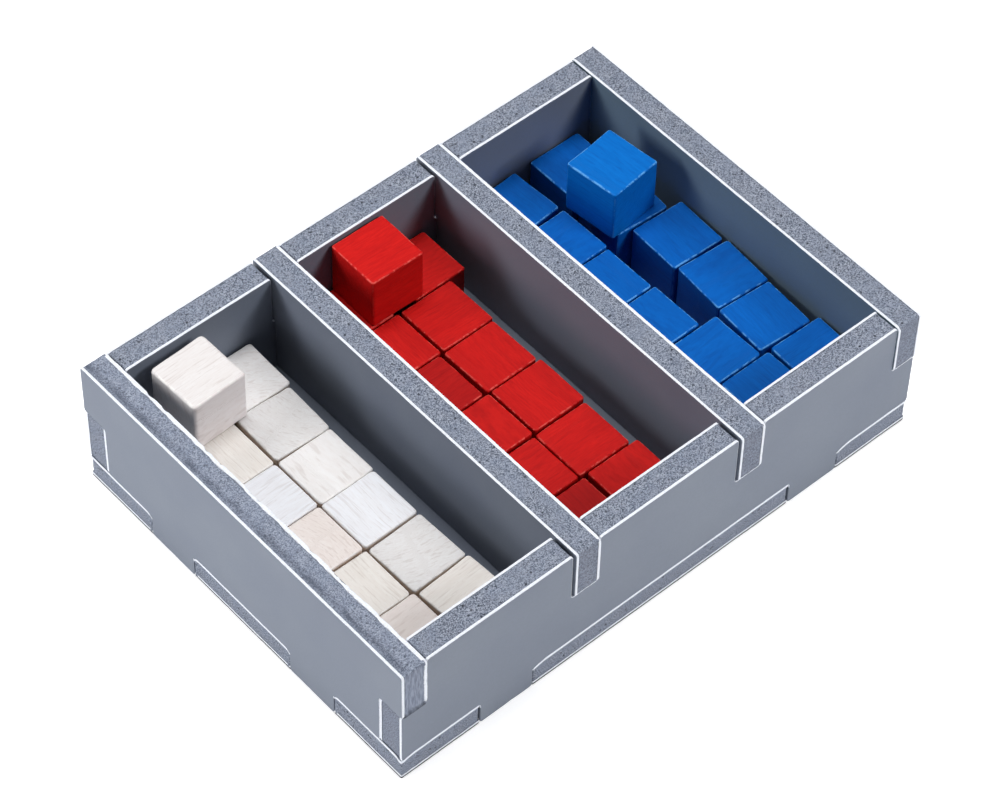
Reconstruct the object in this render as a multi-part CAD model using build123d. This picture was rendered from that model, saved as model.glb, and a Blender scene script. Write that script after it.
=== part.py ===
from build123d import *
import os

# Open three-compartment foam-board tray, with the wooden cubes that it holds.
# Millimetres. +Z is up, the front long wall faces -Y, and the origin is the middle of the underside.

# Tray
LENGTH = 101.5  # along X, over the end walls
WIDTH = 72.5  # along Y, over the long walls
HEIGHT = 25.4  # underside to rim
BOARD = 4.7  # foam board, over both of its paper facings
PAPER = 0.4  # one facing
TAB_DEPTH = 10.1  # slots, and the tabs that hang in them, from the rim down
TAB_PROUD = 0.3  # tab ends beyond the long walls' outer faces
SLOT_PLAY = 0.4  # a divider slot is this much wider than the board
NOTCH_PLAY = 0.3  # a base notch is this much wider than the foot in it
FOOT_WIDTH = 10.1
LONG_FOOT_INSET = 14.9  # end of a long wall to its foot
END_FOOT_INSET = 15.0  # face of a long wall to an end wall's foot

# Cubes
CUBE = 10.0
CUBE_ROUND = 0.5  # worn edges
# Centre from the compartment's front left corner, and turn seen from above, from the back row forward
CUBES = {
    "white": {
        "left": [
            (5.7, 57.8, 0.5), (5.8, 47.5, 0), (5.75, 37.3, 0),
            (5.7, 27.0, 0), (5.65, 16.4, -0.5), (6.1, 6.1, 0.5),
        ],
        "right": [
            (17.35, 57.7, -1.2), (16.5, 47.45, -2), (16.2, 37.1, 0),
            (16.05, 26.9, 0), (16.2, 16.35, 1.5), (16.9, 5.9, 3.5),
        ],
        "top": [(8.3, 56.7, 2)],
    },
    "red": {
        "left": [
            (5.3, 57.8, 0), (5.8, 47.5, 0.5), (5.3, 37.2, 0),
            (6.1, 26.9, 0), (5.75, 16.3, 0), (6.4, 5.8, 0.5),
        ],
        "right": [
            (19.6, 57.8, 0), (16.3, 47.5, 0), (16, 37.2, 0.5),
            (16.5, 26.9, 0), (16, 16.4, 0), (17.15, 6.1, -0.5),
        ],
        "top": [(11.2, 57.8, -0.8)],
    },
    "blue": {
        "left": [
            (6.45, 57.5, 3.5), (6.95, 46.9, 1), (6.75, 36.6, 0),
            (7.15, 26.3, 0), (10.15, 15.9, 0), (11.4, 5.6, 0),
        ],
        "right": [
            (19.4, 57.8, 0), (20, 47.2, -4), (21.9, 36.7, -2.5),
            (21.75, 26.3, -4.5), (20.85, 16.1, -4), (21.85, 5.7, -2),
        ],
        "top": [(17.85, 47.9, 6.5)],
    },
}

INNER_WIDTH = WIDTH - 2 * BOARD
COMPARTMENT = (LENGTH - 4 * BOARD) / 3
END = LENGTH / 2
SIDE = WIDTH / 2
SLOT_FLOOR = HEIGHT - TAB_DEPTH
SLOT_CENTRES = [-(COMPARTMENT + BOARD) / 2, (COMPARTMENT + BOARD) / 2]
# Each divider is pushed against the +X side of its slots, so the play shows on the other side
DIVIDER_CENTRES = [x + SLOT_PLAY / 2 for x in SLOT_CENTRES]


def slab(x_span, y_span, z_span):
    """A block between a low and a high value on each axis."""
    spans = (x_span, y_span, z_span)
    middle = [(low + high) / 2 for low, high in spans]
    return Pos(*middle) * Box(*[high - low for low, high in spans])


def around(centre, width):
    return (centre - width / 2, centre + width / 2)


def between(a, b):
    return (min(a, b), max(a, b))


# Feet stand in notches of the base: two along each wall, mirrored about its middle
LONG_FEET = [side * (END - LONG_FOOT_INSET - FOOT_WIDTH / 2) for side in (-1, 1)]
END_FEET = [side * (SIDE - END_FOOT_INSET - FOOT_WIDTH / 2) for side in (-1, 1)]


def base_layer(z_span):
    layer = slab((-END, END), (-SIDE, SIDE), z_span)
    for side in (-1, 1):
        for x in LONG_FEET:
            notch = around(x, FOOT_WIDTH + NOTCH_PLAY)
            layer -= slab(notch, between(side * (SIDE - BOARD), side * SIDE), z_span)
        for y in END_FEET:
            notch = around(y, FOOT_WIDTH + NOTCH_PLAY)
            layer -= slab(between(side * (END - BOARD), side * END), notch, z_span)
    return layer


def long_wall_layer(y_span):
    """Stands on the base; slots take the dividers, and open corners take the end walls' tabs."""
    layer = slab((-END, END), y_span, (BOARD, HEIGHT))
    for x in SLOT_CENTRES:
        layer -= slab(around(x, BOARD + SLOT_PLAY), y_span, (SLOT_FLOOR, HEIGHT))
    for side in (-1, 1):
        layer -= slab(between(side * (END - BOARD), side * END), y_span, (SLOT_FLOOR, HEIGHT))
    for x in LONG_FEET:
        layer += slab(around(x, FOOT_WIDTH), y_span, (0, BOARD))
    return layer


def cross_wall_layer(x_span, feet):
    """A T shape: the web fits between the long walls, and the tabs hang in their slots."""
    layer = slab(x_span, (-INNER_WIDTH / 2, INNER_WIDTH / 2), (BOARD, HEIGHT))
    layer += slab(x_span, (-SIDE - TAB_PROUD, SIDE + TAB_PROUD), (SLOT_FLOOR, HEIGHT))
    for y in feet:
        layer += slab(x_span, around(y, FOOT_WIDTH), (0, BOARD))
    return layer


def end_wall_layer(x_span):
    return cross_wall_layer(x_span, END_FEET)


def divider_layer(x_span):
    return cross_wall_layer(x_span, [])


def board_layers(first, toward):
    """Spans of a board's first facing, core and second facing, from one face towards the other."""
    depths = [0, PAPER, BOARD - PAPER, BOARD]
    places = [first + toward * depth for depth in depths]
    return [between(places[i], places[i + 1]) for i in range(3)]


def board_nodes(name, layer, first, toward, facings):
    """The three nodes of one foam-board panel: its two paper facings and its foam core."""
    names = [f"{name}_{facings[0]}_facing", f"{name}_core", f"{name}_{facings[1]}_facing"]
    spans = board_layers(first, toward)
    return {node: layer(span) for node, span in zip(names, spans)}


def cube(x, y, z, turn):
    block = fillet(Box(CUBE, CUBE, CUBE).edges(), CUBE_ROUND)
    return Pos(x, y, z + CUBE / 2) * Rot(0, 0, turn) * block


def compartment_cubes(colour, left_face):
    """Two columns of cubes on the base and one more cube on top of them."""
    nodes = {}
    for place, rows in CUBES[colour].items():
        underside = BOARD + CUBE if place == "top" else BOARD
        for row, (x, y, turn) in enumerate(rows, start=1):
            node = f"{colour}_cube_top" if place == "top" else f"{colour}_cube_{place}_{row}"
            nodes[node] = cube(left_face + x, -INNER_WIDTH / 2 + y, underside, turn)
    return nodes


nodes = {}
nodes.update(board_nodes("base", base_layer, 0, 1, ("under", "upper")))
nodes.update(board_nodes("front_wall", long_wall_layer, -SIDE, 1, ("outer", "inner")))
nodes.update(board_nodes("back_wall", long_wall_layer, SIDE, -1, ("outer", "inner")))
nodes.update(board_nodes("left_end_wall", end_wall_layer, -END, 1, ("outer", "inner")))
nodes.update(board_nodes("right_end_wall", end_wall_layer, END, -1, ("outer", "inner")))
for name, centre in zip(("left_divider", "right_divider"), DIVIDER_CENTRES):
    nodes.update(board_nodes(name, divider_layer, centre - BOARD / 2, 1, ("left", "right")))

left_faces = [-END + BOARD] + [centre + BOARD / 2 for centre in DIVIDER_CENTRES]
for colour, left_face in zip(CUBES, left_faces):
    nodes.update(compartment_cubes(colour, left_face))

os.makedirs("parts", exist_ok=True)
for node, shape in nodes.items():
    export_step(shape, f"parts/{node}.step")
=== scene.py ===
import math

import bmesh
import bpy
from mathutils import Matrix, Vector, noise
from mathutils.geometry import tessellate_polygon


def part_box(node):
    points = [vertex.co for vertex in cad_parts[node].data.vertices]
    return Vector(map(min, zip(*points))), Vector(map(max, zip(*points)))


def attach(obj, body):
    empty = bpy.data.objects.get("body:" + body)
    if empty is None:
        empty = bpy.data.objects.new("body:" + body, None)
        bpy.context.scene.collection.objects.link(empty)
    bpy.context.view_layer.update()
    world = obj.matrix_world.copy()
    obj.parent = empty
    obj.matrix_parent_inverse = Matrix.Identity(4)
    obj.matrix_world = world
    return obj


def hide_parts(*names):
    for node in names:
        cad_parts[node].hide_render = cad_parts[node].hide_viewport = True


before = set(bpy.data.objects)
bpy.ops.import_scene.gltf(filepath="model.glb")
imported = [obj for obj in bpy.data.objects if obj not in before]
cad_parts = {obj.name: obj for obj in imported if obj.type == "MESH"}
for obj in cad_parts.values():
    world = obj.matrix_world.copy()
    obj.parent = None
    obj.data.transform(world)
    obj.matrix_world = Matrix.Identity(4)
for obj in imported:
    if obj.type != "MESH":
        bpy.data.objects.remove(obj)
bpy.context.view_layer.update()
MM = 0.001


# ---------------------------------------------------------------- reading the frame

def cap_outline(node, axis):
    """The outline of a flat layer, seen along its thin axis: points on the other two axes, anticlockwise."""
    u, v = [i for i in range(3) if i != axis]
    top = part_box(node)[1][axis]
    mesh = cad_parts[node].data
    after = {}
    for face in mesh.polygons:
        corners = [mesh.vertices[i].co for i in face.vertices]
        if any(abs(c[axis] - top) > 1e-6 for c in corners):
            continue
        ring = [(round(c[u], 6), round(c[v], 6)) for c in corners]
        area = sum(a[0] * b[1] - b[0] * a[1] for a, b in zip(ring, ring[1:] + ring[:1]))
        if area < 0:
            ring.reverse()
        for a, b in zip(ring, ring[1:] + ring[:1]):
            if a in after.get(b, ()):
                after[b].remove(a)
            else:
                after.setdefault(a, set()).add(b)
    start = min(p for p, nexts in after.items() if nexts)
    loop = [start]
    while True:
        following = next(iter(after[loop[-1]]))
        if following == start:
            break
        loop.append(following)
    points = [Vector(p) for p in loop]
    turns = []
    for i, point in enumerate(points):
        back = point - points[i - 1]
        ahead = points[(i + 1) % len(points)] - point
        turns.append(abs(back.x * ahead.y - back.y * ahead.x) / (back.length * ahead.length))
    return [p for p, turn in zip(points, turns) if turn > 1e-3]


def cube_pose(node):
    """Centre, edge and turn about Z of a cube, from its upright faces."""
    low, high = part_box(node)
    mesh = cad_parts[node].data
    sides = [f for f in mesh.polygons if abs(f.normal.z) < 0.01]
    widest = max(sides, key=lambda f: f.area)
    turn = math.atan2(widest.normal.y, widest.normal.x)
    quarter = math.pi / 2
    turn -= quarter * round(turn / quarter)
    return (low + high) / 2, high.z - low.z, turn


# ---------------------------------------------------------------- materials

class Shader:
    """A node tree for one material, with short calls for the nodes that it uses."""

    def __init__(self, name, roughness, specular=0.5):
        self.material = bpy.data.materials.new(name)
        self.material.use_nodes = True
        self.tree = self.material.node_tree
        self.surface = self.tree.nodes["Principled BSDF"]
        self.surface.inputs["Roughness"].default_value = roughness
        self.surface.inputs["Specular IOR Level"].default_value = specular
        self.place = self.node("ShaderNodeTexCoord").outputs["Object"]

    def node(self, kind, **settings):
        made = self.tree.nodes.new(kind)
        for key, value in settings.items():
            setattr(made, key, value)
        return made

    def link(self, source, socket):
        if isinstance(source, (int, float, tuple)):
            socket.default_value = source
        else:
            self.tree.links.new(source, socket)

    def stretch(self, source, scale):
        """The same places with each axis multiplied: a small scale draws a pattern out along its axis."""
        made = self.node("ShaderNodeMapping")
        self.link(source, made.inputs["Vector"])
        made.inputs["Scale"].default_value = scale
        return made.outputs["Vector"]

    def noise(self, source, size, detail=2.0, rough=0.5, distortion=0.0):
        """Smooth noise from 0 to 1 whose spots are about size metres across."""
        made = self.node("ShaderNodeTexNoise")
        self.link(source, made.inputs["Vector"])
        made.inputs["Scale"].default_value = 1 / size
        made.inputs["Detail"].default_value = detail
        made.inputs["Roughness"].default_value = rough
        made.inputs["Distortion"].default_value = distortion
        return made.outputs["Fac"]

    def cells(self, source, size):
        """How far each place is from the nearest of many points strewn about size metres apart."""
        made = self.node("ShaderNodeTexVoronoi")
        self.link(source, made.inputs["Vector"])
        made.inputs["Scale"].default_value = 1 / size
        return made.outputs["Distance"]

    def math(self, operation, a, b=0.0):
        made = self.node("ShaderNodeMath", operation=operation)
        self.link(a, made.inputs[0])
        self.link(b, made.inputs[1])
        return made.outputs[0]

    def ramp(self, source, low, high, to_low=0.0, to_high=1.0):
        """Source from low to high, mapped to to_low to to_high and held there outside."""
        made = self.node("ShaderNodeMapRange")
        self.link(source, made.inputs["Value"])
        made.inputs["From Min"].default_value = low
        made.inputs["From Max"].default_value = high
        made.inputs["To Min"].default_value = to_low
        made.inputs["To Max"].default_value = to_high
        return made.outputs["Result"]

    def mix(self, factor, a, b, blend="MIX"):
        """Colour a where factor is 0 and colour b where it is 1. The numbered sockets are the colour ones."""
        made = self.node("ShaderNodeMix", data_type="RGBA", blend_type=blend)
        self.link(factor, made.inputs["Factor"])
        self.link(a, made.inputs[6])
        self.link(b, made.inputs[7])
        return made.outputs[2]

    def attribute(self, name, output="Fac"):
        return self.node("ShaderNodeAttribute", attribute_name=name).outputs[output]

    def colour(self, source):
        self.link(source, self.surface.inputs["Base Color"])

    def bump(self, height, distance, strength=1.0):
        made = self.node("ShaderNodeBump")
        made.inputs["Strength"].default_value = strength
        made.inputs["Distance"].default_value = distance
        self.link(height, made.inputs["Height"])
        self.link(made.outputs["Normal"], self.surface.inputs["Normal"])


def srgb(red, green, blue):
    """A colour as it looks on a screen, 0 to 255, as the linear colour that shaders take."""
    linear = []
    for value in (red, green, blue):
        value /= 255
        linear.append(value / 12.92 if value <= 0.04045 else ((value + 0.055) / 1.055) ** 2.4)
    return (*linear, 1.0)


def facing_material(name, darker, lighter, fibre):
    """The outside of the board's paper: smooth grey-blue, a little cloudy, with a fine tooth."""
    s = Shader(name, roughness=0.55, specular=0.35)
    clouds = s.noise(s.place, 14 * MM, detail=3)
    fibres = s.noise(s.place, 0.35 * MM, detail=2)
    base = s.mix(s.ramp(clouds, 0.3, 0.7), srgb(*darker), srgb(*lighter))
    s.colour(s.mix(s.ramp(fibres, 0.35, 0.65, 0, 0.12), base, srgb(*fibre)))
    s.bump(fibres, 0.004 * MM)
    return s.material


def paper_edge_material():
    """The cut edge of the same paper, which is white right through."""
    s = Shader("white_paper_edge", roughness=0.8, specular=0.2)
    fibres = s.noise(s.place, 0.25 * MM, detail=3)
    s.colour(s.mix(s.ramp(fibres, 0.35, 0.7), srgb(242, 245, 252), srgb(224, 229, 240)))
    s.bump(fibres, 0.03 * MM)
    return s.material


def contact_shadow_material():
    """The lowest edge of the base, painted dark as a painted contact shadow under the box."""
    s = Shader("painted_contact_shadow_edge", roughness=0.8, specular=0.1)
    shadow_mottle = s.noise(s.place, 1.2 * MM, detail=3)
    s.colour(s.mix(s.ramp(shadow_mottle, 0.35, 0.65), srgb(26, 28, 34), srgb(44, 46, 54)))
    return s.material


def foam_material():
    """Cut foam: fine cells and a few open pits, painted dark as shade in them. Upright cuts are calmer than
    tops, except where coarse. The attributes drag and pale mark where it was dragged and paled; two more mark
    painted shade under a crushed tab and in a streak."""
    s = Shader("grey_foam", roughness=0.85, specular=0.2)
    up = s.node("ShaderNodeSeparateXYZ")
    s.link(s.node("ShaderNodeNewGeometry").outputs["Normal"], up.inputs[0])
    upright = s.ramp(s.math("ABSOLUTE", up.outputs["Z"]), 0.4, 0.8, 1, 0)
    drag = s.attribute("drag")
    fine = s.noise(s.place, 0.21 * MM, detail=2, rough=0.75)
    streaks = s.noise(s.stretch(s.place, (1, 1, 0.12)), 0.26 * MM, detail=2, rough=0.6)
    cells = s.ramp(s.mix(drag, fine, streaks), 0.385, 0.615)
    smooth_cut = s.math("MULTIPLY", upright, s.ramp(s.attribute("coarse"), 0, 1, 1, 0))
    broad = s.ramp(s.noise(s.place, 4.5 * MM, detail=3), 0.45, 0.68, 0, 0.35)
    broad = s.math("MULTIPLY", broad, s.ramp(s.attribute("pale"), 0, 1, 1, 0.3))
    calm = s.math("MAXIMUM", s.math("MULTIPLY", smooth_cut, 0.35), broad)
    cells = s.mix(calm, cells, (0.5, 0.5, 0.5, 1))
    base = s.mix(cells, srgb(66, 73, 87), srgb(172, 179, 195))
    patches = s.noise(s.place, 2.2 * MM, detail=3)
    base = s.mix(s.ramp(patches, 0.35, 0.65, 0, 0.22), base, srgb(120, 134, 158))
    spots = s.cells(s.place, 1.0 * MM)
    chosen = s.noise(s.place, 2.5 * MM, detail=2)
    # The open pits are painted dark: painted shade inside them
    pit = s.math("MULTIPLY", s.ramp(spots, 0.13, 0.25, 1, 0), s.ramp(chosen, 0.47, 0.53))
    pit = s.math("MULTIPLY", pit, s.ramp(smooth_cut, 0, 1, 0.8, 0.3))
    base = s.mix(pit, base, srgb(34, 36, 44))
    base = s.mix(s.math("MULTIPLY", smooth_cut, 0.3), base, srgb(92, 96, 112))
    base = s.mix(s.math("MULTIPLY", s.attribute("pale"), 0.22), base, srgb(160, 170, 192))
    # A streak of painted shade near the left end wall's outer side, broken into streaks
    shade_streaks = s.noise(s.stretch(s.place, (1, 0.4, 1)), 1.4 * MM, detail=3, rough=0.65)
    hollow_shade = s.math("MULTIPLY", s.ramp(shade_streaks, 0.4, 0.6, 0.25, 0.75), s.attribute("hollow_shade"))
    base = s.mix(hollow_shade, base, srgb(66, 72, 88))
    # Painted shade under the crushed bottom of the left end wall's tab
    base = s.mix(s.attribute("tab_shade"), base, srgb(40, 44, 52))
    s.colour(base)
    s.bump(s.math("SUBTRACT", cells, s.math("MULTIPLY", pit, 1.5)), 0.06 * MM, strength=0.7)
    return s.material


facing_paper = facing_material("grey_facing_paper", (113, 121, 137), (120, 128, 142), (100, 107, 116))
# Inside the right end wall the paper is painted bluer: a painted reflection of the blue cubes beside it
blue_bounce_paper = facing_material("blue_bounce_facing_paper", (98, 116, 132), (104, 123, 137), (87, 103, 112))
paper_edge = paper_edge_material()
contact_shadow_edge = contact_shadow_material()
foam = foam_material()


# ---------------------------------------------------------------- foam-board panels

STEP = 0.4 * MM  # how far apart the points of an outline are
JOINT_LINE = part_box("base_upper_facing")[1].z  # where the walls stand on the base
TRAY_LOW, TRAY_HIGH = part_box("base_core")


def foot_ends(node, axis, along):
    """Where a wall's two feet start and end, from the points of its outline that touch the floor."""
    others = [i for i in range(3) if i != axis]
    outline = cap_outline(node, axis)
    return sorted(point[others.index(along)] for point in outline if point[others.index(2)] < 1e-5)


TAB_DEPTH = 10.1 * MM  # how far an end wall's tab reaches down from its top
LONG_FOOT_ENDS = foot_ends("front_wall_outer_facing", 1, 0)
END_FOOT_ENDS = foot_ends("left_end_wall_outer_facing", 0, 1)
# Along the front, where the joint line starts to droop and how deeply
FRONT_DROOPS = ((TRAY_LOW.x, 0.45 * MM), (LONG_FOOT_ENDS[1], 0.6 * MM), (LONG_FOOT_ENDS[3], 0.7 * MM))
FRONT_DROOP_LENGTH = 2.6 * MM
SIDE_DROOP, SIDE_DROOP_LENGTH = 0.35 * MM, 2.0 * MM  # on the left side, at its front corner
FOOT_DROOP, FOOT_DROOP_LENGTH = 0.55 * MM, 0.8 * MM  # on the left side, to both sides of each foot's end
NEAR_EDGE = 1 * MM  # a point this close to an edge or to the top belongs to it


def droop(x, y):
    """How far the joint line between base and walls hangs below its place, at corners and beside the feet."""
    fall = 0.0
    if y < TRAY_LOW.y + NEAR_EDGE:
        for start, depth in FRONT_DROOPS:
            t = (x - start) / FRONT_DROOP_LENGTH
            if -0.2 < t < 1:
                fall = max(fall, depth * (1 - max(0, t)) ** 1.4)
    if x < TRAY_LOW.x + NEAR_EDGE:
        for end in END_FOOT_ENDS:
            t = abs(y - end) / FOOT_DROOP_LENGTH
            if t < 1:
                fall = max(fall, FOOT_DROOP * (1 - t))
        t = (y - TRAY_LOW.y) / SIDE_DROOP_LENGTH
        if 0 <= t < 1:
            fall = max(fall, SIDE_DROOP * (1 - t) ** 1.4)
    return fall


NOTCH_ZONE = 6 * MM  # the base's notches lie within this distance of its edges
NOTCH_PLAY = 0.3 * MM  # and their sides within this distance of the feet's ends


def snug(points):
    """The base's outline with its notches closed up on the feet, but for a hairline beside the front feet."""
    closed = []
    for point in points:
        x, y = point
        for ends, value, overlap in ((LONG_FOOT_ENDS, 0, 0.0), (END_FOOT_ENDS, 1, 0.12 * MM)):
            at_edge = abs(point[1 - value]) > (TRAY_HIGH - TRAY_LOW)[1 - value] / 2 - NOTCH_ZONE
            for k, end in enumerate(ends):
                if at_edge and abs(point[value] - end) < NOTCH_PLAY:
                    moved = end + (overlap if k % 2 == 0 else -overlap)
                    x, y = (moved, y) if value == 0 else (x, moved)
        closed.append(Vector((x, y)))
    return closed


def rounded(points, radius):
    """An outline with each corner turned into a short arc."""
    result = []
    for i, corner in enumerate(points):
        back = points[i - 1] - corner
        ahead = points[(i + 1) % len(points)] - corner
        reach = min(radius, 0.4 * back.length, 0.4 * ahead.length)
        first = corner + back.normalized() * reach
        last = corner + ahead.normalized() * reach
        for k in range(5):
            t = k / 4
            result.append(first * (1 - t) ** 2 + corner * 2 * t * (1 - t) + last * t ** 2)
    return result


def resampled(points):
    """An outline with points added so that none are much more than STEP apart."""
    result = []
    for a, b in zip(points, points[1:] + points[:1]):
        count = max(1, round((b - a).length / STEP))
        result += [a.lerp(b, k / count) for k in range(count)]
    return result


def outward_normals(points):
    """At each point of an anticlockwise outline, the direction away from what it encloses."""
    normals = []
    for i in range(len(points)):
        along = points[(i + 1) % len(points)] - points[i - 1]
        normals.append(Vector((along.y, -along.x)).normalized())
    return normals


def layer_mesh(name, axis, rings, materials, cap_slot, side_slot):
    """A closed mesh through rings of points, each an outline and its points' depths, capped at both ends."""
    u, v = [i for i in range(3) if i != axis]
    verts = []
    for outline, depths in rings:
        for point, depth in zip(outline, depths):
            co = [0.0, 0.0, 0.0]
            co[u], co[v], co[axis] = point.x, point.y, depth
            verts.append(co)
    count = len(rings[0][0])
    faces, slots = [], []
    for r in range(len(rings) - 1):
        for i in range(count):
            j = (i + 1) % count
            faces.append((r * count + i, r * count + j, (r + 1) * count + j, (r + 1) * count + i))
            slots.append(side_slot)
    for r in (0, len(rings) - 1):
        ring = [Vector((p.x, p.y, 0)) for p in rings[r][0]]
        for triangle in tessellate_polygon([ring]):
            faces.append(tuple(r * count + i for i in triangle))
            slots.append(cap_slot)
    mesh = bpy.data.meshes.new(name)
    mesh.from_pydata(verts, [], faces)
    for material in materials:
        mesh.materials.append(material)
    mesh.polygons.foreach_set("material_index", slots)
    mesh.update()
    return mesh


def turn_outward(mesh):
    """Turns every face of a closed mesh outward."""
    bm = bmesh.new()
    bm.from_mesh(mesh)
    bmesh.ops.recalc_face_normals(bm, faces=bm.faces)
    bm.to_mesh(mesh)
    bm.free()


def point_values(mesh, name, values):
    """One number at each of the mesh's points, for a material to read."""
    mesh.attributes.new(name, "FLOAT", "POINT").data.foreach_set("value", values)


def tray_piece(name, mesh, node):
    """The finished mesh as a piece of the tray, in place of its CAD node."""
    turn_outward(mesh)
    piece = bpy.data.objects.new(name, mesh)
    bpy.context.scene.collection.objects.link(piece)
    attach(piece, "tray")
    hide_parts(node)
    return piece


def at_depth(points, axis, depth):
    """Points of an outline as places in space, for noise to read."""
    u, v = [i for i in range(3) if i != axis]
    places = []
    for point in points:
        co = Vector((0, 0, 0))
        co[u], co[v], co[axis] = point.x, point.y, depth
        places.append(co)
    return places


def wavy(places, size, seed):
    """Smooth noise from about -1 to 1 at each place, whose waves are about size metres long."""
    return [noise.noise(place / size + Vector((seed, 0.37 * seed, -seed))) for place in places]


def hung(points, axis, depth):
    """A wall's outline with its foot line let down wherever the joint line droops."""
    moved = []
    for point in points:
        x, y = (point.x, depth) if axis == 1 else (depth, point.x)
        fall = droop(x, y) if abs(point.y - JOINT_LINE) < 0.3 * MM else 0
        moved.append(Vector((point.x, point.y - fall)))
    return moved


TORN = 0.1 * MM  # a sheet more ragged than this is torn, and only along the middle of its top
TEAR_FRONT_FADE, TEAR_BACK_FADE = 16 * MM, 9 * MM
CONTACT_SHADOW_HEIGHT = 0.40 * MM  # how high the painted contact shadow along the base's lowest edge is
ROUNDED_HEIGHT = 0.10 * MM  # how deep the rounded edge of every other sheet reaches


def facing_sheet(
    node, axis, outside,
    wobble=0.05 * MM, fray=0.03 * MM, thick=1.05, corner=0.6 * MM, ragged=0.03 * MM, skin=facing_paper,
):
    """One paper facing. outside is the depth of its face that shows, and skin is that face's material. Its
    cut edge waves in and out by wobble, and finely by fray. There it is thick times the CAD's thickness,
    uneven by ragged."""
    low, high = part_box(node)
    inside = low[axis] if abs(high[axis] - outside) < abs(low[axis] - outside) else high[axis]
    inward = 1 if inside > outside else -1
    paper = abs(inside - outside)
    outline = cap_outline(node, axis)
    if axis == 2:
        outline = snug(outline)
    outline = resampled(rounded(outline, corner))
    normals = outward_normals(outline)
    if axis != 2:
        outline = hung(outline, axis, outside)
    places = at_depth(outline, axis, outside)
    waves = wavy(places, 6 * MM, 3.1)
    frays = wavy(places, 0.8 * MM, 7.7)
    thicks = [a + 0.4 * b for a, b in zip(wavy(places, 3.6 * MM, 5.3), wavy(places, 0.7 * MM, 2.9))]
    lifts = [max(0.0, a + 0.4 * b) for a, b in zip(wavy(places, 2.4 * MM, 8.9), wavy(places, 0.8 * MM, 4.4))]
    if ragged > TORN:
        on_top = [place.z > high.z - NEAR_EDGE for place in places]
        fades = [min(1, (p.y - low.y) / TEAR_FRONT_FADE, (high.y - p.y) / TEAR_BACK_FADE) for p in places]
        tears = [max(0, fade) if top else 1 for fade, top in zip(fades, on_top)]
        thicks = [t * tear for t, tear in zip(thicks, tears)]
        lifts = [t * tear for t, tear in zip(lifts, tears)]
    falls = [droop(p.x, p.y) if axis == 2 and inward < 0 else 0 for p in outline]

    def ring(inset, depth, swing, hang=1, lift=0):
        """The outline drawn in by inset, at a depth that swing and lift make uneven and hang lets droop."""
        shifts = [-inset - wobble * (0.5 + 0.5 * w) - fray * (0.5 + 0.5 * f) for w, f in zip(waves, frays)]
        moved = [p + n * s for p, n, s in zip(outline, normals, shifts)]
        depths = [depth + swing * t + lift * u for t, u in zip(thicks, lifts)]
        return moved, [outside + inward * d - hang * f for d, f in zip(depths, falls)]

    under = axis == 2 and inward > 0
    # From the middle of the face that shows, round its edge, down the white cut and on to the hidden face
    curl = 1.5 * ragged
    rings = [
        ring(0.5 * MM, 0, 0, hang=0),
        ring(0.08 * MM, 0, 0, lift=curl),
        ring(0.02 * MM, 0.03 * MM, 0, lift=curl),
        ring(0, CONTACT_SHADOW_HEIGHT if under else ROUNDED_HEIGHT, 0, lift=curl),
        ring(0, 0.8 * thick * paper, 0),
        ring(0.03 * MM, thick * paper, ragged),
    ]
    materials = [skin, paper_edge, contact_shadow_edge] if under else [skin, paper_edge]
    mesh = layer_mesh(node + "_sheet", axis, rings, materials, 0, 1)
    count = len(outline)
    for face in mesh.polygons[:count]:
        face.material_index = 0
    # Along the base's lowest edge the sheet takes the painted contact shadow
    if under:
        for face in mesh.polygons[:3 * count]:
            face.material_index = 2
    if axis != 2:
        # Down in the notches, the feet's white cut edges take the grey paper of the face instead: painted
        # shade in the notches
        for face in mesh.polygons:
            if all(mesh.vertices[i].co.z < JOINT_LINE - 0.7 * MM for i in face.vertices):
                face.material_index = 0
    for face in mesh.polygons:
        face.use_smooth = face.material_index == 1
    return tray_piece(node + "_sheet", mesh, node)


FOAM_CORNER = 0.6 * MM
FOAM_LAYERS = 12
RECESS, BROAD_WAVE, FINE_WAVE = -0.13, 0.03, 0.05  # in mm: how far out the foam's cut lies, and its roughness
CRUMB = (0.38, 0.3)  # in mm: how far the crushed foam under the front tab sticks out, and how unevenly
HOLLOW_SHADE_LINE, HOLLOW_SHADE_WIDTH = 0.2, 0.22  # the streak of painted shade along the left end wall's outer side, as shares of its thickness
COARSE = {"base_core": 1.0, "back_wall_core": 0.6}  # upright cuts that are as grainy as the tops


def beside_end_foot(point):
    """Whether a point of the base's outline lies on a short edge, close to an end wall's foot."""
    if abs(point.x) <= TRAY_HIGH.x - NEAR_EDGE:
        return False
    return any(abs(point.y - end) < 0.7 * MM for end in END_FOOT_ENDS)


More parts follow.
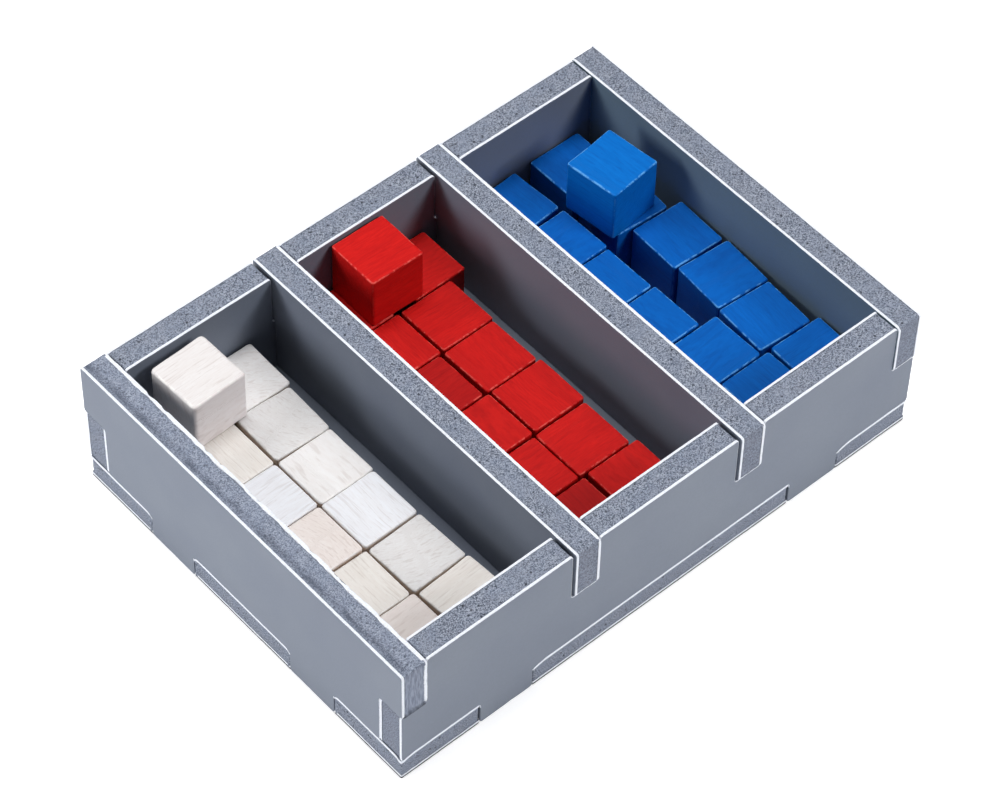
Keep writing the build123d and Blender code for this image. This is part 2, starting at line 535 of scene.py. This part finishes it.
def foam_slab(node, axis, dragged=False):
    """The foam core: its cut edges sit a hair below the paper's, and are rough. dragged is for the left end
    wall, whose front end was dragged, with painted shade under its crushed tab, and whose foam is paler with
    a streak of painted shade."""
    low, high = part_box(node)
    outline = cap_outline(node, axis)
    if axis == 2:
        outline = snug(outline)
    outline = resampled(rounded(outline, FOAM_CORNER))
    normals = outward_normals(outline)
    overlap = 0.05 * MM
    first, last = low[axis] - overlap, high[axis] + overlap
    falls = [droop(p.x, p.y) if axis == 2 else 0 for p in outline]
    rings, drags, tab_shades, hollow_shade = [], [], [], []
    for k in range(FOAM_LAYERS + 1):
        share = k / FOAM_LAYERS
        depth = first + (last - first) * share
        places = at_depth(outline, axis, depth)
        broad = wavy(places, 4 * MM, 1.3)
        rough = wavy(places, 0.55 * MM, 9.1)
        shifts = [(RECESS + BROAD_WAVE * b + FINE_WAVE * r) * MM for b, r in zip(broad, rough)]
        if axis == 2:
            shifts = [0 if beside_end_foot(p) else s for p, s in zip(outline, shifts)]
        if dragged:
            tab = high.z - TAB_DEPTH
            hangs = [abs(p.y - tab) < 0.4 * MM and p.x < low.y + 4 * MM for p in outline]
            crumbs = [(CRUMB[0] + CRUMB[1] * r) * MM if hang else 0 for r, hang in zip(rough, hangs)]
            shifts = [s + crumb for s, crumb in zip(shifts, crumbs)]
        points = [p + n * s for p, n, s in zip(outline, normals, shifts)]
        if dragged:
            points = [Vector((max(p.x, low.y + 0.03 * MM), p.y)) for p in points]
        rings.append((points, [depth - share * fall for fall in falls]))
        for place, fuzz in zip(places, rough):
            at_end = dragged and place.y < low.y + 0.5 * MM
            above = (place.z - (high.z - TAB_DEPTH)) / MM + 0.7 * fuzz
            drags.append(1.0 if at_end else 0.0)
            # The streak of painted shade, strongest at its line across the wall's thickness
            hollow_share = max(0.0, 1 - abs(share - HOLLOW_SHADE_LINE) / HOLLOW_SHADE_WIDTH)
            hollow_shade.append(hollow_share if dragged and not at_end else 0.0)
            # Painted shade, darkest at the bottom of the tab
            tab_shades.append(max(0.0, min(1.0, 0.9 - 0.9 * above)) if at_end else 0.0)
    mesh = layer_mesh(node + "_slab", axis, rings, [foam], 0, 0)
    point_values(mesh, "drag", drags)
    point_values(mesh, "tab_shade", tab_shades)
    point_values(mesh, "hollow_shade", hollow_shade)
    point_values(mesh, "coarse", [COARSE.get(node, 0.0)] * len(drags))
    point_values(mesh, "pale", [float(dragged)] * len(drags))
    for face in mesh.polygons:
        face.use_smooth = len(face.vertices) == 4
    return tray_piece(node + "_slab", mesh, node)


def board(panel, axis, facings, **rough):
    """One panel: two facings round a foam core. rough holds facing_sheet's values for some of its facings."""
    core = f"{panel}_core"
    foam_slab(core, axis, dragged=panel == "left_end_wall")
    middle = (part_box(core)[0][axis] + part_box(core)[1][axis]) / 2
    for facing in facings:
        node = f"{panel}_{facing}_facing"
        low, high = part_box(node)
        outside = high[axis] if low[axis] > middle else low[axis]
        facing_sheet(node, axis, outside, **rough.get(facing, {}))


base_under = {"thick": 2.0, "corner": 0.3 * MM}
base_upper = {"thick": 1.35, "corner": 0.3 * MM}
torn = {"wobble": 0.1 * MM, "fray": 0.02 * MM, "thick": 1.6, "corner": 1.1 * MM, "ragged": 0.4 * MM}
soft_cornered = {"corner": 0.9 * MM, "thick": 1.3}
board("base", 2, ("under", "upper"), under=base_under, upper=base_upper)
board("front_wall", 1, ("outer", "inner"))
board("back_wall", 1, ("outer", "inner"))
board("left_end_wall", 0, ("outer", "inner"), inner=torn)
board("right_end_wall", 0, ("outer", "inner"), inner={"corner": 0.9 * MM, "skin": blue_bounce_paper})
board("left_divider", 0, ("left", "right"), right=soft_cornered)
board("right_divider", 0, ("left", "right"), right=soft_cornered)


# ---------------------------------------------------------------- wooden cubes

def cube_lattice():
    """Places across a cube's face from -1 to 1, close together at the worn edges."""
    near = [0.0, 0.012, 0.026, 0.042, 0.060, 0.082, 0.11, 0.15, 0.2]
    inner = [0.2 + (1 - 0.2) * k / 5 for k in range(1, 6)]
    half = near + inner
    return [-1 + d for d in half] + [1 - d for d in reversed(half[:-1])]


def eased(a, b):
    """A corner point, a past one flat and b past the other, moved onto the quarter circle between them."""
    if a <= 0 or b <= 0:
        return a, b
    scale = max(a, b) / math.hypot(a, b)
    return a * scale, b * scale


WEAR_SIZE, CORNER_SIZE, DENT_SIZE = 3.5 * MM, 6 * MM, 2.2 * MM  # how far apart its changes lie
DENT_DEPTH = 0.02 * MM


def cube_mesh(name, centre, edge, turn, seed, round_edge, round_corner, fuller):
    """A sawn and tumbled cube: its upright edges are the rounder ones, and it is a little fuller in plan."""
    half = edge / 2
    plan = (half + fuller) / half
    lattice = cube_lattice()
    n = len(lattice)
    index, local = {}, []

    def vertex(key):
        if key not in index:
            index[key] = len(local)
            local.append(Vector([lattice[k] for k in key]))
        return index[key]

    faces = []
    for axis in range(3):
        for side in (0, n - 1):
            for a in range(n - 1):
                for b in range(n - 1):
                    keys = []
                    for i, j in ((a, b), (a + 1, b), (a + 1, b + 1), (a, b + 1)):
                        key = [i, j]
                        key.insert(axis, side)
                        keys.append(tuple(key))
                    faces.append([vertex(k) for k in keys])
    shift = Vector((seed * 3.7, -seed * 1.9, seed * 5.3))  # another part of the noise for each cube
    rim, inside, verts = [], [], []
    cos, sin = math.cos(turn), math.sin(turn)
    for point in local:
        p = point * half
        wear = noise.noise(p / WEAR_SIZE + shift)
        corner = round_corner * (1 + 0.6 * noise.noise(Vector((p.x, p.y, 0)) / CORNER_SIZE + shift))
        radius = round_edge * (1 + 0.5 * wear)
        past_x, past_y = abs(p.x) - half + corner, abs(p.y) - half + corner
        eased_x, eased_y = eased(past_x, past_y)
        x = math.copysign(half - corner + eased_x, p.x)
        y = math.copysign(half - corner + eased_y, p.y)
        wide = max(abs(p.x), abs(p.y))
        past_side, past_end = wide - half + radius, abs(p.z) - half + radius
        eased_side, eased_end = eased(past_side, past_end)
        if wide > 0:
            x *= (half - radius + eased_side) / wide
            y *= (half - radius + eased_side) / wide
        z = math.copysign(half - radius + eased_end, p.z)
        edged = min(past_side, past_end) / radius
        cornered = min(past_x, past_y) / corner if wide > half - 1e-9 else 0.0
        q = Vector((x * plan, y * plan, z))
        uneven = DENT_DEPTH * (noise.noise(p / DENT_SIZE - shift) - 0.6)
        q += q.normalized() * uneven
        # Top and bottom edges count fully and upright corners a quarter: the rim's paler colour is partly
        # wear and partly a painted highlight
        rim.append(max(0.0, min(1.0, 1.6 * max(edged, 0.25 * cornered))))
        inside.append(p)
        verts.append((centre.x + q.x * cos - q.y * sin, centre.y + q.x * sin + q.y * cos, centre.z + q.z))
    mesh = bpy.data.meshes.new(name)
    mesh.from_pydata(verts, [], faces)
    mesh.update()
    turn_outward(mesh)
    for face in mesh.polygons:
        face.use_smooth = True
    return mesh, rim, inside


def growth(points, axis, seed):
    """Where each point lies in the tree: along the grain, out from the pith, and round the ring."""
    angle = 2.4 * seed  # the direction of the pith, another for each cube
    reach = (16 + 9 * (seed % 4)) * MM  # and its distance: 16 to 43 mm
    pith = (reach * math.cos(angle), reach * math.sin(angle))
    values = []
    for p in points:
        b, c = p[(axis + 1) % 3] - pith[0], p[(axis + 2) % 3] - pith[1]
        swing = (math.atan2(c, b) - angle + math.pi) % (2 * math.pi)
        bend = 0.25 * MM * noise.noise(p / (7 * MM) + Vector((seed, 0, 0)))
        values += [p[axis] + 0.05 * seed, math.hypot(b, c) + bend, swing * reach]
    return values


def wood_material(name, light, dark, line, edge, gap_shade_colour, vein, sheen, wear, gap_shade_amount):
    """Wood. It reads four attributes: growth is the place in the tree, rim marks the edges, worn and with a
    painted highlight, one marks the sides of lower cubes that get painted shade warmed by reflected light
    between them, and tone tints the cube."""
    s = Shader(name, roughness=0.5, specular=sheen)
    growth_place = s.attribute("growth", "Vector")
    bands = s.noise(s.stretch(growth_place, (0.05, 1, 0.1)), 1.5 * MM, detail=2, distortion=0.2)
    fine = s.noise(s.stretch(growth_place, (0.12, 1, 0.35)), 0.26 * MM, detail=2, rough=0.65)
    lines = s.noise(s.stretch(growth_place, (0.07, 1, 0.2)), 0.3 * MM, detail=2)
    specks = s.noise(s.stretch(growth_place, (0.3, 1, 0.8)), 0.24 * MM, detail=1)
    base = s.mix(s.ramp(bands, 0.35, 0.65, 0, 0.4), light, dark)
    base = s.mix(s.ramp(fine, 0.38, 0.68, 0, 0.6), base, dark)
    base = s.mix(s.ramp(lines, 0.56, 0.66, 0, vein), base, line)
    base = s.mix(s.ramp(specks, 0.66, 0.74, 0, 0.6 * vein), base, line)
    base = s.mix(1.0, base, s.attribute("tone", "Color"), blend="MULTIPLY")
    # Paler rim patches: partly wear where stain is rubbed off, partly a painted highlight along the edges
    scuffs_and_glints = s.ramp(s.noise(s.place, 1.1 * MM, detail=3, rough=0.6), 0.6 - wear, 0.72 - wear)
    worn = s.math("MULTIPLY", s.ramp(s.attribute("rim"), 0.15, 0.9), scuffs_and_glints)
    # Painted shade, warmed by reflected light, on the sides of the lower cubes between their neighbours
    base = s.mix(s.math("MULTIPLY", s.attribute("gap_shade"), gap_shade_amount), base, gap_shade_colour)
    s.colour(s.mix(worn, base, edge))
    s.bump(s.math("SUBTRACT", fine, lines), 0.015 * MM)
    return s.material


# For each colour: its slot, the roundness of top and bottom edges and of upright ones, how much fuller than
# its CAD cube it is in plan, and its material
WOODS = {
    "white": (
        "bare_wood", 0.26 * MM, 0.5 * MM, 0.06 * MM,
        wood_material(
            "bare_wood",
            light=srgb(242, 241, 241), dark=srgb(232, 227, 225), line=srgb(200, 190, 185),
            edge=srgb(246, 243, 240), gap_shade_colour=srgb(210, 180, 150),
            vein=0.34, sheen=0.3, wear=0.14, gap_shade_amount=0.5,
        ),
    ),
    "red": (
        "red_stained_wood", 0.26 * MM, 0.4 * MM, 0.0,
        wood_material(
            "red_stained_wood",
            light=srgb(208, 27, 24), dark=srgb(182, 16, 18), line=srgb(140, 8, 14),
            edge=srgb(228, 86, 78), gap_shade_colour=srgb(150, 8, 12),
            vein=0.2, sheen=0.12, wear=0.14, gap_shade_amount=0.3,
        ),
    ),
    "blue": (
        "blue_stained_wood", 0.26 * MM, 0.4 * MM, 0.0,
        wood_material(
            "blue_stained_wood",
            light=srgb(2, 102, 194), dark=srgb(0, 88, 176), line=srgb(4, 58, 138),
            edge=srgb(92, 166, 232), gap_shade_colour=srgb(0, 60, 140),
            vein=0.2, sheen=0.12, wear=0.18, gap_shade_amount=0.3,
        ),
    ),
}

# Which way each cube's grain runs, in name order (left 1 to 6, right 1 to 6, top):
# 0 along X, 1 along Y, 2 upright, so that its end grain shows on top
GRAIN_AXES = {
    "white": [0, 1, 0, 2, 1, 0, 2, 2, 1, 1, 2, 0, 0],
    "red": [0, 1, 0, 1, 0, 1, 0, 0, 1, 1, 0, 1, 0],
    "blue": [1, 0, 1, 1, 0, 1, 1, 0, 1, 0, 1, 0, 1],
}
# Whole cubes differ in tone: each tone multiplies the wood's colour. The lightest, on the blue cube on top,
# is painted light that the raised cube catches above the walls
TONES = {
    "plain": (1.0, 1.0, 1.0),
    "grey": (0.87, 0.87, 0.87),
    "lilac": (0.98, 1.01, 1.06),
    "cream": (0.98, 0.95, 0.90),
    "pink": (1.01, 0.94, 0.90),
    "deep": (0.80, 0.80, 0.90),
    "bright": (3.0, 1.22, 1.09),
    "soft": (0.90, 0.885, 0.885),
}
CUBE_TONES = {
    "white": "plain cream lilac pink cream pink plain grey plain lilac grey cream soft",
    "red": "plain plain deep plain plain deep plain plain plain plain plain plain plain",
    "blue": "plain plain plain plain plain plain plain plain plain plain plain plain bright",
}

UNSHADED_RIM = 0.4 * MM  # the sides of the lower cubes get painted shade and warm reflected light from here below their tops
FRONT_BOUNCE_TINTS = {"white_cube_top": (1.08, 1.03, 1.03)}  # a front face painted lighter than the rest of its cube: painted bounce light on it
TOP_SOFTNESS = {"white": 1.6, "red": 1.0, "blue": 1.1}  # how much rounder the cube on top is than the rest


def wooden_cubes():
    """Every cube, with its own wear, grain and tone. The seed runs on from colour to colour."""
    for order, (colour, (slot, round_edge, round_corner, fuller, material)) in enumerate(WOODS.items()):
        nodes = sorted(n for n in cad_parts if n.startswith(colour + "_cube"))
        tones = CUBE_TONES[colour].split()
        for number, node in enumerate(nodes):
            centre, edge, turn = cube_pose(node)
            seed = 1 + number + 13 * order
            name = node.replace("_cube_", "_block_")
            soft = TOP_SOFTNESS[colour] if node.endswith("top") else 1.0
            rounding = (soft * round_edge, soft * round_corner)
            mesh, rim, inside = cube_mesh(name, centre, edge, turn, seed, *rounding, fuller)
            values = growth(inside, GRAIN_AXES[colour][number], seed)
            mesh.attributes.new("growth", "FLOAT_VECTOR", "POINT").data.foreach_set("vector", values)
            point_values(mesh, "rim", rim)
            tone = []
            front_limit = 0.25 * MM - edge / 2
            for p in inside:
                front = FRONT_BOUNCE_TINTS.get(node) if p.y < front_limit else None
                tone += [*(front or TONES[tones[number]]), 1.0]
            mesh.attributes.new("tone", "FLOAT_COLOR", "POINT").data.foreach_set("color", tone)
            # Only the lower cubes' sides, below the rim, get the painted shade between cubes
            above = edge / 2 - UNSHADED_RIM
            gap_shade = [0.0 if node.endswith("top") or p.z > above else 1.0 for p in inside]
            point_values(mesh, "gap_shade", gap_shade)
            mesh.materials.append(material)
            piece = bpy.data.objects.new(name, mesh)
            bpy.context.scene.collection.objects.link(piece)
            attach(piece, node)
            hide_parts(node)


wooden_cubes()


# ---------------------------------------------------------------- floor, light and camera

def floor():
    """A plain pale floor. It glows a little, so that it renders white without washing out the tray."""
    mesh = bpy.data.meshes.new("floor")
    r = 1.5
    mesh.from_pydata([(-r, -r, 0), (r, -r, 0), (r, r, 0), (-r, r, 0)], [], [(0, 1, 2, 3)])
    s = Shader("floor", roughness=0.9, specular=0.1)
    s.surface.inputs["Base Color"].default_value = (0.9, 0.9, 0.9, 1)
    s.surface.inputs["Emission Color"].default_value = (1, 1, 1, 1)
    s.surface.inputs["Emission Strength"].default_value = 0.57
    mesh.materials.append(s.material)
    piece = bpy.data.objects.new("floor", mesh)
    bpy.context.scene.collection.objects.link(piece)


def soft_light(name, direction, distance, size, watts):
    """A soft box that shines on the tray from that direction and distance."""
    data = bpy.data.lights.new(name, "AREA")
    data.shape = "RECTANGLE"
    data.size, data.size_y = size
    data.energy = watts
    lamp = bpy.data.objects.new(name, data)
    aim = Vector(direction).normalized()
    lamp.location = aim * distance
    lamp.rotation_euler = aim.to_track_quat("Z", "Y").to_euler()
    bpy.context.scene.collection.objects.link(lamp)


floor()
soft_light("left_softbox_low", (-0.90, 0.28, 0.37), 0.5, (0.14, 0.14), 0.62)
soft_light("left_softbox_high", (-0.72, 0.42, 0.54), 0.5, (0.14, 0.14), 0.61)
soft_light("back_softbox", (-0.15, 0.60, 0.74), 0.4, (0.12, 0.12), 0.20)
soft_light("front_softbox", (0.50, -0.75, 0.70), 0.5, (0.15, 0.15), 1.20)
soft_light("top_softbox", (0.04, 0.13, 1.0), 0.5, (0.20, 0.20), 1.42)

world = bpy.data.worlds.new("studio")
world.use_nodes = True
world.node_tree.nodes["Background"].inputs["Color"].default_value = (1, 1, 1, 1)
world.node_tree.nodes["Background"].inputs["Strength"].default_value = 0.0
bpy.context.scene.world = world
bpy.context.scene.view_settings.view_transform = "Standard"

# The camera was fitted to the tray's corners as the photograph shows them
camera_data = bpy.data.cameras.new("camera")
camera_data.lens = 138.68
camera_data.sensor_width = 36
camera_data.clip_start = 0.01
camera = bpy.data.objects.new("camera", camera_data)
camera.location = (-0.24565, -0.26803, 0.46340)
camera.rotation_euler = [math.radians(a) for a in (38.705, -0.984, -41.224)]
bpy.context.scene.collection.objects.link(camera)
bpy.context.scene.camera = camera
